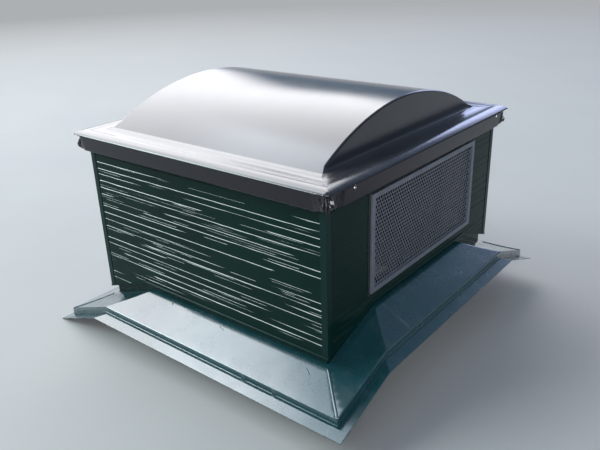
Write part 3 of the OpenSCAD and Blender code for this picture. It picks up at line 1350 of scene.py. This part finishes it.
@dataclass
class PerforatedVent:
    """A folded frame round a sheet with staggered round holes, bedded in sealant."""

    curb: Curb
    side: Side
    hole_radius: float = 4.9 * MM
    pitch: float = 12 * MM
    margin: float = 1 * MM
    sheet: float = 0.8 * MM
    clamped: float = 6 * MM
    hole_sides: int = 12
    frame_edge: float = 0.7 * MM
    bead: float = 7 * MM
    bead_under: float = 1 * MM
    bead_proud: float = 1.8 * MM
    bead_depth: float = 3 * MM
    bead_edge: float = 1.4 * MM

    def holes(self, low: Vector, high: Vector) -> Iterator[tuple[float, float]]:
        """Centres of the holes in the sheet's own plane.

        Args:
            low: Lowest corner of the perforated field.
            high: Highest corner of the perforated field.

        Yields:
            Place along the sheet and height.
        """
        row_pitch = self.pitch * math.sqrt(3) / 2
        columns = int((high.x - low.x - 2 * self.hole_radius - self.pitch / 2) / self.pitch) + 1
        rows = int((high.z - low.z - 2 * self.hole_radius) / row_pitch) + 1
        width = (columns - 0.5) * self.pitch
        start_x = (low.x + high.x - width) / 2
        start_z = (low.z + high.z - (rows - 1) * row_pitch) / 2
        for row in range(rows):
            shift = self.pitch / 2 if row % 2 else 0
            for column in range(columns):
                yield start_x + shift + column * self.pitch, start_z + row * row_pitch

    def build_sheet(self, shop: Workshop) -> None:
        """Builds the perforated sheet with real holes.

        Args:
            shop: The workshop that makes the pieces.
        """
        node = f"{self.side.word}_vent_grille"
        low, high = self.curb.local_box(self.side, node)
        bm = bmesh.new()
        back = low.y + self.sheet
        rim = [bm.verts.new((x, back, z)) for x, z in
               ((low.x, low.z), (high.x, low.z), (high.x, high.z), (low.x, high.z))]
        edges = [bm.edges.new((rim[i - 1], rim[i])) for i in range(4)]
        inset = Vector((1, 0, 1)) * (self.clamped + self.margin)
        upright = Matrix.Rotation(math.pi / 2, 4, "X")
        for x, z in self.holes(low + inset, high - inset):
            place = Matrix.Translation((x, back, z)) @ upright
            ring = bmesh.ops.create_circle(
                bm, cap_ends=False, radius=self.hole_radius, segments=self.hole_sides, matrix=place
            )["verts"]
            edges += unique(e for v in ring for e in v.link_edges)
        bmesh.ops.triangle_fill(bm, use_beauty=True, edges=edges, normal=(0, -1, 0))
        thicken(bm, (0, -self.sheet, 0))
        bmesh.ops.transform(bm, matrix=self.curb.wall(self.side), verts=bm.verts)
        shop.piece(f"{self.side.word}_perforated_sheet", bm, ZINC, [node])

    def ring(self, outset: float, width: float, back: float, front: float) -> bmesh.types.BMesh:
        """A flat rectangular ring round the vent frame.

        Args:
            outset: How far its outer edge is outside the frame's.
            width: Width of the ring's face.
            back: Distance of its back face into the wall.
            front: Distance of its front face into the wall.

        Returns:
            The shape, in the row frame.
        """
        low, high = self.curb.local_box(self.side, f"{self.side.word}_vent_frame")
        bm = bmesh.new()
        middle = Vector(((low.x + high.x) / 2, back, (low.z + high.z) / 2))
        size = ((high.x - low.x) / 2 + outset, (high.z - low.z) / 2 + outset)
        upright = Matrix.Rotation(math.pi / 2, 4, "X") @ Matrix.Diagonal((*size, 1, 1))
        place = Matrix.Translation(middle) @ upright
        bmesh.ops.create_grid(bm, x_segments=1, y_segments=1, size=1, matrix=place)
        inner = bm.faces[:]
        bmesh.ops.inset_region(
            bm, faces=inner, thickness=width, use_boundary=True, use_even_offset=True
        )
        bmesh.ops.delete(bm, geom=inner, context="FACES")
        thicken(bm, (0, front - back, 0))
        bmesh.ops.transform(bm, matrix=self.curb.wall(self.side), verts=bm.verts)
        return bm

    def build(self, shop: Workshop) -> None:
        """Builds the sheet, its frame and the sealant bead.

        Args:
            shop: The workshop that makes the pieces.
        """
        word = self.side.word
        self.build_sheet(shop)
        frame = shop.softened(f"{word}_vent_frame", self.frame_edge, 3)
        shop.piece(f"{word}_folded_frame", frame, ZINC, [f"{word}_vent_frame"], even=True)
        width = self.bead + self.bead_under
        bead = self.ring(self.bead, width, self.bead_depth, -self.bead_proud)
        round_off(bead, sharp_edges(bead), self.bead_edge, 3)
        shop.piece(f"{word}_vent_sealant", bead, SEALANT)


@dataclass
class Flashings:
    """Folded sheets that carry the walls' feet over the hips of the roof."""

    curb: Curb
    roof: Roof
    apron_lift: float = 28 * MM
    apron_width: float = 101 * MM
    strip_width: float = 30 * MM
    strip_t: float = 2 * MM
    sheet: float = 1.2 * MM
    sunk: float = 0.5 * MM
    fold_radius: float = 3 * MM
    fold_gap: float = 0.3 * MM
    crest_width: float = 0.45
    crest_fill: float = 0.9
    upstand_edge: float = 0.4 * MM
    strip_edge: float = 0.6 * MM
    drip: tuple[float, float] = (-13.5 * MM, 3 * MM)
    drip_height: float = 4 * MM
    drip_edge: float = 1.2 * MM
    siding_lift: float = 70 * MM
    tuck: float = 15 * MM
    cant: float = 8 * MM
    bend_places: tuple[float, ...] = (0, 10 * MM, 22 * MM, 35 * MM, 50 * MM, 66 * MM, 84 * MM)
    bead_start: float = 1 * MM
    bead_width: float = 7 * MM
    bead_rise: float = 2.2 * MM
    lap_place: float = -215 * MM
    lap_ends: tuple[float, float] = (2 * MM, 4 * MM)
    lap_skew: float = -6 * MM
    lap_width: float = 9 * MM
    lap_rise: float = 0.9 * MM
    hem_in: float = 1 * MM
    hem_out: float = 1.2 * MM
    hem_edge: float = 0.9 * MM
    hem_heights: tuple[float, float] = (6 * MM, 11 * MM)
    joint_places: tuple[float, ...] = (246 * MM, 354 * MM)
    joint_width: float = 16 * MM
    joint_faces: tuple[float, float] = (0.9 * MM, 1 * MM)
    joint_edge: float = 0.4 * MM
    cap_length: float = 54 * MM
    cap_t: float = 0.9 * MM
    cap_gaps: tuple[float, float] = (0.3 * MM, 0.4 * MM)
    cap_edge: float = 0.45 * MM
    mark_slant: float = -0.45
    mark_rise: float = 0.6 * MM
    marks: tuple[tuple[float, float, float, float], ...] = (
        (-136 * MM, 5 * MM, 6 * MM, 4 * MM), (76 * MM, 10 * MM, 7 * MM, 2 * MM),
        (88 * MM, 12 * MM, 9 * MM, 1.5 * MM), (404 * MM, 18 * MM, 14 * MM, 1.5 * MM),
        (414 * MM, 26 * MM, 8 * MM, 1.5 * MM),
    )

    def band(self, bm: bmesh.types.BMesh, side: Side, inner: float, outer: float) -> None:
        """Adds the plan of one wall's stretch of a mitred ring.

        Args:
            bm: The shape that is changed.
            side: The wall.
            inner: Distance of its inner edge outside the wall face.
            outer: Distance of its outer edge outside the wall face.
        """
        half = self.curb.half_length(side)
        verts = plan_face(bm, [(-half - inner, -inner), (-half - outer, -outer),
                               (half + outer, -outer), (half + inner, -inner)])
        bmesh.ops.transform(bm, matrix=self.curb.wall(side), verts=verts)

    def lift_at(self, place: Vector) -> float:
        """Height of the apron's top above the roof, which falls off from the wall in a curve."""
        share = 1 - max(self.curb.outside(place), 0) / self.apron_width
        return self.apron_lift + self.cant * share * abs(share)

    def cut_bends(self, bm: bmesh.types.BMesh) -> None:
        """Cuts a flat plan shape along lines beside the walls, so that it can be curved.

        Args:
            bm: The shape that is changed.
        """
        for side in Side:
            outward = self.curb.wall(side).to_3x3() @ Vector((0, -1, 0))
            for out in self.bend_places:
                slice_through(bm, self.curb.wall(side) @ Vector((0, -out, 0)), outward)

    def layer(
        self, side: Side, inner: float, outer: float, low: float, high: float
    ) -> bmesh.types.BMesh:
        """A solid layer that follows the roof between two heights above it.

        Args:
            side: The wall.
            inner: Distance of its inner edge outside the wall face.
            outer: Distance of its outer edge outside the wall face.
            low: Height of its underside above the roof.
            high: Height of its top above the roof.

        Returns:
            The shape.
        """
        bm = bmesh.new()
        self.band(bm, side, inner, outer)
        self.roof.cut_folds(bm)
        self.roof.drape(bm.verts, low)
        thicken(bm, (0, 0, high - low))
        return bm

    def ridge(self, start: Vector, end: Vector, width: float, rise: float) -> bmesh.types.BMesh:
        """A low raised line on the aprons between two points in plan, such as a seam.

        Args:
            start: One end in plan.
            end: The other end in plan.
            width: Width of the line.
            rise: How far it stands above the apron.

        Returns:
            The shape.
        """
        across = (end - start).cross(Vector((0, 0, 1))).normalized() * width / 2
        bm = bmesh.new()
        corners = (start - across, end - across, end + across, start + across)
        plan_face(bm, [(corner.x, corner.y) for corner in corners])
        self.roof.cut_folds(bm)
        self.cut_bends(bm)
        for vert in bm.verts:
            vert.co.z = self.roof.height(vert.co.x, vert.co.y) + self.lift_at(vert.co) - self.sunk
        thicken(bm, (0, 0, rise + self.sunk))
        crests = [e for e in sharp_edges(bm) if all(self.above_apron(v.co) > 0 for v in e.verts)]
        round_off(bm, crests, min(self.crest_width * width, rise) * self.crest_fill, 3)
        return bm

    def above_apron(self, place: Vector) -> float:
        """How far a point is above the top of the aprons."""
        return place.z - self.roof.height(place.x, place.y) - self.lift_at(place)

    def build_apron(self, shop: Workshop, side: Side) -> None:
        """Builds one apron sheet with its edge folded down to the strip.

        Args:
            shop: The workshop that makes the pieces.
            side: The wall.
        """
        bm = bmesh.new()
        self.band(bm, side, -self.tuck, self.apron_width)
        self.roof.cut_folds(bm)
        self.cut_bends(bm)
        for vert in bm.verts:
            vert.co.z = self.roof.height(vert.co.x, vert.co.y) + self.lift_at(vert.co)
        outer = self.apron_width - 10 * TINY
        edges = [e for e in bm.edges
                 if e.is_boundary and all(self.curb.outside(v.co) > outer for v in e.verts)]
        verts, _ = draw_out(bm, edges)
        fall = self.strip_t + self.fold_gap - self.apron_lift
        bmesh.ops.translate(bm, verts=verts, vec=(0, 0, fall))
        bmesh.ops.recalc_face_normals(bm, faces=bm.faces)
        bm.faces.ensure_lookup_table()
        top = max(bm.faces, key=lambda f: f.calc_area())
        if top.normal.z < 0:
            bmesh.ops.reverse_faces(bm, faces=bm.faces)
        round_off(bm, sharp_edges(bm, 20), self.fold_radius, 4)
        node = f"{side.word}_apron"
        piece = shop.piece(f"{node}_sheet", bm, FLASHING, [node], crease=60)
        wall = piece.modifiers.new("sheet", "SOLIDIFY")
        wall.thickness = self.sheet
        wall.offset = -1
        shop.even_normals(piece)

    def build_trims(self, shop: Workshop, side: Side) -> None:
        """Builds the upstand, the siding's drip, the apron's hem and the edge strip of one side.

        Args:
            shop: The workshop that makes the pieces.
            side: The wall.
        """
        word = side.word
        upstand = shop.softened(f"{word}_upstand", self.upstand_edge, 1)
        foot = self.layer(side, *self.drip, self.siding_lift - self.drip_height, self.siding_lift)
        round_off(foot, sharp_edges(foot), self.drip_edge, 3)
        inner, outer = self.apron_width - self.hem_in, self.apron_width + self.hem_out
        hem = self.layer(side, inner, outer, *self.hem_heights)
        round_off(hem, sharp_edges(hem), self.hem_edge, 3)
        strip = shop.softened(f"{word}_edge_strip", self.strip_edge, 2)
        for name, bm, finish, nodes in (
            ("upstand_sheet", upstand, TRIM, [f"{word}_upstand"]),
            ("siding_drip", foot, TRIM, []),
            ("apron_hem", hem, FLASHING, []),
            ("strip_sheet", strip, FLASHING, [f"{word}_edge_strip"]),
        ):
            shop.piece(f"{word}_{name}", bm, finish, nodes, even=True)

    def build_seams(self, shop: Workshop) -> None:
        """Builds the mitre beads at the corners and the laps in the side aprons.

        Args:
            shop: The workshop that makes the pieces.
        """
        reach = self.apron_width - self.fold_radius / 2
        half_w, half_d = self.curb.half_w - self.bead_start, self.curb.half_d - self.bead_start
        near, far = self.lap_ends
        for depth, hand in CORNERS:
            start = Vector((hand * half_w, depth * half_d, 0))
            end = start + Vector((hand, depth, 0)) * reach
            bead = self.ridge(start, end, self.bead_width, self.bead_rise)
            shop.piece(f"{corner_name(depth, hand)}_mitre_bead", bead, FLASHING)
        for side, sign in ((Side.RIGHT, 1), (Side.LEFT, -1)):
            start = Vector((sign * (self.curb.half_w - near), self.lap_place, 0))
            end = start + Vector((sign * (reach - far), self.lap_skew, 0))
            lap = self.ridge(start, end, self.lap_width, self.lap_rise)
            shop.piece(f"{side.word}_apron_lap", lap, FLASHING)

    def build_joints(self, shop: Workshop) -> None:
        """Builds the small lapped joints in the fold along the front apron's edge.

        Args:
            shop: The workshop that makes the pieces.
        """
        face = -self.curb.half_d - self.apron_width
        half = self.joint_width / 2
        front, back = self.joint_faces
        for number, place in enumerate(self.joint_places, 1):
            bm = bmesh.new()
            foot = self.roof.height(place, face) + self.strip_t
            head = foot + self.apron_lift - self.strip_t - self.fold_radius
            verts = block(bm, (place - half, face - front, foot), (place + half, face + back, head))
            for vert in verts:
                vert.co.z += self.roof.height(vert.co.x, face) - self.roof.height(place, face)
            round_off(bm, sharp_edges(bm), self.joint_edge, 2)
            shop.piece(f"front_fold_joint_{number}", bm, FLASHING)

    def build_corner_caps(self, shop: Workshop) -> None:
        """Builds the folded patches that cover the mitres of the edge strips.

        Args:
            shop: The workshop that makes the pieces.
        """
        inner = self.apron_width + self.cap_gaps[0]
        outer = self.apron_width + self.strip_width - self.cap_gaps[1]
        back = outer - self.cap_length
        ends = ((outer, outer), (outer, back), (inner, back),
                (inner, inner), (back, inner), (back, outer))
        plan = [(self.curb.half_w + x, self.curb.half_d + y) for x, y in ends]
        for depth, hand in CORNERS:
            bm = bmesh.new()
            plan_face(bm, [(hand * x, depth * y) for x, y in plan])
            self.roof.cut_folds(bm)
            self.roof.drape(bm.verts, self.strip_t - self.sunk)
            thicken(bm, (0, 0, self.sunk + self.cap_t))
            round_off(bm, sharp_edges(bm), self.cap_edge, 2)
            shop.piece(f"{corner_name(depth, hand)}_strip_cap", bm, FLASHING, even=True)

    def build_marks(self, shop: Workshop) -> None:
        """Builds the small lumps and scratches of old sealant on the front apron.

        Args:
            shop: The workshop that makes the pieces.
        """
        for number, (x, out, length, width) in enumerate(self.marks, 1):
            start = Vector((x - length / 2, -self.curb.half_d - out, 0))
            end = start + Vector((length, self.mark_slant * length, 0))
            mark = self.ridge(start, end, width, self.mark_rise)
            shop.piece(f"front_apron_mark_{number}", mark, SEALANT)

    def build(self, shop: Workshop) -> None:
        """Builds the flashings of all four sides.

        Args:
            shop: The workshop that makes the pieces.
        """
        for side in Side:
            self.build_apron(shop, side)
            self.build_trims(shop, side)
        self.build_seams(shop)
        self.build_joints(shop)
        self.build_corner_caps(shop)
        self.build_marks(shop)


@dataclass
class DomeScrews:
    """Stainless screws on washers that hold the dome's skirt to the curb."""

    curb: Curb
    dome: MouldedDome
    place: float = 398 * MM
    below: float = 11 * MM
    washer_radius: float = 7 * MM
    washer_t: float = 1.2 * MM
    washer_edge: float = 0.4 * MM
    head_radius: float = 4.6 * MM
    head_taper: float = 0.8
    head_t: float = 3 * MM
    head_edge: float = 1 * MM
    sides: int = 24
    seating: float = 0.3 * MM

    def drum(
        self, bm: bmesh.types.BMesh, foot: float, height: float, radius: float, top_radius: float
    ) -> list[bmesh.types.BMEdge]:
        """Adds a round block that stands on a level.

        Args:
            bm: The shape that is changed.
            foot: The level.
            height: Height of the block.
            radius: Its radius at the foot.
            top_radius: Its radius at the top.

        Returns:
            The edges round its top.
        """
        verts = bmesh.ops.create_cone(
            bm, cap_ends=True, cap_tris=False, segments=self.sides, radius1=radius,
            radius2=top_radius, depth=height, matrix=Matrix.Translation((0, 0, foot + height / 2)),
        )["verts"]
        top = foot + height - TINY
        edges = unique(e for v in verts for e in v.link_edges)
        return [e for e in edges if all(v.co.z > top for v in e.verts)]

    def screw(self) -> bmesh.types.BMesh:
        """A pan head on a washer, looking along +Z.

        Returns:
            The shape.
        """
        bm = bmesh.new()
        rim = self.drum(bm, 0, self.washer_t, self.washer_radius, self.washer_radius)
        round_off(bm, rim, self.washer_edge, 2)
        top_radius = self.head_radius * self.head_taper
        crown = self.drum(bm, self.washer_t, self.head_t, self.head_radius, top_radius)
        round_off(bm, crown, self.head_edge, 3)
        return bm

    def build(self, shop: Workshop) -> None:
        """Builds two screws on each side skirt.

        Args:
            shop: The workshop that makes the pieces.
        """
        lean = math.atan2(self.dome.skirt_taper, self.dome.skirt_drop)
        drop = self.below / self.dome.skirt_drop
        out = self.curb.half_w + self.dome.rim_over - self.dome.skirt_taper * drop - self.seating
        for word, hand in (("right", 1), ("left", -1)):
            for end, sign in (("front", -1), ("back", 1)):
                spot = Vector((hand * out, sign * self.place, self.curb.top - self.below))
                turn = Matrix.Rotation(hand * (math.pi / 2 + lean), 4, "Y")
                bm = self.screw()
                bmesh.ops.transform(bm, matrix=Matrix.Translation(spot) @ turn, verts=bm.verts)
                shop.piece(f"{word}_{end}_dome_screw", bm, STAINLESS)


class Framing:
    """The timber frame and plywood that show from below and through the vents, in wood tones
    darkened as painted shade.
    """

    def build(self, shop: Workshop) -> None:
        """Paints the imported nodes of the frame.

        Args:
            shop: The workshop that makes the pieces.
        """
        # These wood finishes have painted shade in their colours: their tones are darkened for the
        # unlit inside.
        for node in shop.nodes:
            if node.endswith(("_top_plate", "_sill")):
                shop.repaint(node, SOFTWOOD_X if node.startswith(("front", "back")) else SOFTWOOD_Y)
            elif node.endswith(("_post", "_studs")):
                shop.repaint(node, SOFTWOOD_UPRIGHT)
            elif node.endswith("_sheathing"):
                shop.repaint(node, PLYWOOD)


@dataclass(frozen=True)
class Panel:
    """A soft panel of light, whose face has a brightness of 1 where it is white."""

    name: str
    azimuth: float
    elevation: float
    distance: float
    size: tuple[float, float]
    radiance: float
    tint: tuple[float, float, float] = (1, 1, 1)

    @property
    def heading(self) -> Vector:
        """Direction by its turn from -X towards +Y and its height above the floor, in degrees.

        Returns:
            The way from the object to the panel.
        """
        turn, rise = math.radians(self.azimuth), math.radians(self.elevation)
        out = math.cos(rise)
        return Vector((-math.cos(turn) * out, math.sin(turn) * out, math.sin(rise)))


PANELS = (
    Panel("upper sky panel", 24, 44, 14, (20.5, 11.0), 4.15, (0.99, 0.985, 1.0)),
    Panel("lower sky panel", 20, 17, 14, (15.0, 5.4), 2.65, (1.0, 0.97, 0.98)),
    Panel("high panel", 0, 58, 12, (7.6, 6.4), 2.6, (0.76, 0.89, 1.0)),
    Panel("front panel", -37, 33, 14, (10.6, 6.6), 11.5, (0.85, 1.0, 0.99)),
    Panel("back sky panel", 84, 20, 12, (8.0, 3.8), 3.1, (0.6, 0.66, 1.0)),
    Panel("corner panel", -126, 22, 12, (7.0, 5.6), 11.0),
    Panel("fill panel", -110, 60, 14, (9.0, 6.4), 1.0),
)


@dataclass(frozen=True)
class Studio:
    """Pale floor and background, soft light, and the camera at the photo's viewing angle."""

    camera_place: tuple[float, float, float] = (1.2983, -1.5876, 1.1624)
    heading: float = -39.38
    look_down: float = 23.2
    roll: float = -1.86
    lens: float = 39.416
    sensor: float = 36.0
    clip_end: float = 200
    floor_half: float = 30.0
    floor_tones: tuple[tuple[float, float, float], ...] = ((0.335,) * 3, (0.35, 0.35, 0.345))
    surround: tuple[float, float, float] = (0.115, 0.18, 0.265)
    horizon: tuple[float, float, float] = (0.42, 0.435, 0.45)
    horizon_rise: float = 0.13
    fade: tuple[float, float] = (3.5, 12.0)
    soft_edge: float = 0.18
    target: tuple[float, float, float] = (0, 0, 0.4)
    panels: tuple[Panel, ...] = PANELS

    def build_camera(self) -> None:
        """Places the camera."""
        yaw, pitch, roll = (math.radians(a) for a in (self.heading, self.look_down, self.roll))
        out = math.cos(pitch)
        forward = Vector((math.sin(yaw) * out, math.cos(yaw) * out, -math.sin(pitch)))
        level = forward.cross(Vector((0, 0, 1))).normalized()
        over = level.cross(forward)
        right = math.cos(roll) * level + math.sin(roll) * over
        upward = -math.sin(roll) * level + math.cos(roll) * over
        data = bpy.data.cameras.new("photo camera")
        data.lens = self.lens
        data.sensor_width = self.sensor
        data.sensor_fit = "HORIZONTAL"
        data.clip_end = self.clip_end
        camera = bpy.data.objects.new("photo camera", data)
        bpy.context.scene.collection.objects.link(camera)
        turn = Matrix((right, upward, -forward)).transposed().to_4x4()
        camera.matrix_world = Matrix.Translation(self.camera_place) @ turn
        bpy.context.scene.camera = camera

    def build_floor(self) -> None:
        """Lays a pale floor that fades into the background far from the object."""
        bm = bmesh.new()
        bmesh.ops.create_grid(bm, x_segments=1, y_segments=1, size=self.floor_half)
        mesh = bpy.data.meshes.new("studio floor")
        bm.to_mesh(mesh)
        bm.free()
        paint = Painter("studio floor", Roughness=0.9)
        mottle = paint.spread(paint.noise(1.3, 3), 0.3, 0.7)
        tone = paint.blend(mottle, *(colour(*tone) for tone in self.floor_tones))
        paint.dress("Base Color", tone)
        distance = paint.add("VectorMath", operation="LENGTH")
        paint.feed(distance.inputs[0], paint.add("TexCoord").outputs["Object"])
        far = paint.spread(distance.outputs["Value"], *self.fade)
        glow = paint.add("Emission")
        glow.inputs["Color"].default_value = colour(*self.horizon)
        mix = paint.add("MixShader")
        for number, value in enumerate((far, paint.shader.outputs[0], glow.outputs[0])):
            paint.feed(mix.inputs[number], value)
        paint.feed(paint.tree.nodes["Material Output"].inputs["Surface"], mix.outputs[0])
        mesh.materials.append(paint.material)
        floor = bpy.data.objects.new("studio floor", mesh)
        bpy.context.scene.collection.objects.link(floor)

    def build_world(self) -> None:
        """Sets an even cool light all round, over a pale horizon."""
        world = bpy.data.worlds.new("studio")
        bpy.context.scene.world = world
        sky = NodeTree(world)
        height = sky.split(sky.add("TexCoord").outputs["Generated"])["Z"]
        rise = sky.ease(height, 0, self.horizon_rise)
        tone = sky.blend(rise, colour(*self.horizon), colour(*self.surround))
        sky.feed(sky.tree.nodes["Background"].inputs["Color"], tone)

    def soften_edges(self, data: bpy.types.Light) -> None:
        """Lets a panel's face fade out towards its edges.

        Args:
            data: The panel's lamp.
        """
        lamp = NodeTree(data)
        place = lamp.split(lamp.add("NewGeometry").outputs["Parametric"])
        ends = ((0, self.soft_edge), (1, 1 - self.soft_edge))
        fades = [lamp.ease(place[axis], low, high) for axis in "XY" for low, high in ends]
        strength = fades[0]
        for fade in fades[1:]:
            strength = lamp.maths("MULTIPLY", strength, fade)
        lamp.feed(lamp.tree.nodes["Emission"].inputs["Strength"], strength)

    def add_panel(self, panel: Panel) -> None:
        """Hangs one soft panel that faces the object.

        Args:
            panel: The panel.
        """
        data = bpy.data.lights.new(panel.name, "AREA")
        data.shape = "RECTANGLE"
        data.size, data.size_y = panel.size
        data.energy = panel.radiance * math.pi * panel.size[0] * panel.size[1]
        data.color = panel.tint
        self.soften_edges(data)
        lamp = bpy.data.objects.new(panel.name, data)
        lamp.visible_camera = False
        bpy.context.scene.collection.objects.link(lamp)
        way = panel.heading.normalized()
        turn = way.to_track_quat("Z", "Y").to_matrix().to_4x4()
        lamp.matrix_world = Matrix.Translation(Vector(self.target) + way * panel.distance) @ turn

    def build(self) -> None:
        """Sets up the whole studio."""
        self.build_camera()
        self.build_floor()
        self.build_world()
        for panel in self.panels:
            self.add_panel(panel)


def main() -> None:
    """Builds the studio and every sub-assembly in order."""
    logging.basicConfig(level=logging.INFO, format="%(name)s: %(message)s")
    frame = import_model()
    scene = bpy.context.scene
    scene.view_settings.view_transform = "Standard"
    shop = Workshop(frame)
    curb = Curb.from_frame()
    roof = Roof()
    Studio().build()
    Framing().build(shop)
    dome = MouldedDome(curb)
    dome.build(shop)
    DomeScrews(curb, dome).build(shop)
    GroovedCladding(curb, roof).build(shop)
    for side in (Side.RIGHT, Side.LEFT):
        PerforatedVent(curb, side).build(shop)
    Flashings(curb, roof).build(shop)


if __name__ == "__main__":
    main()
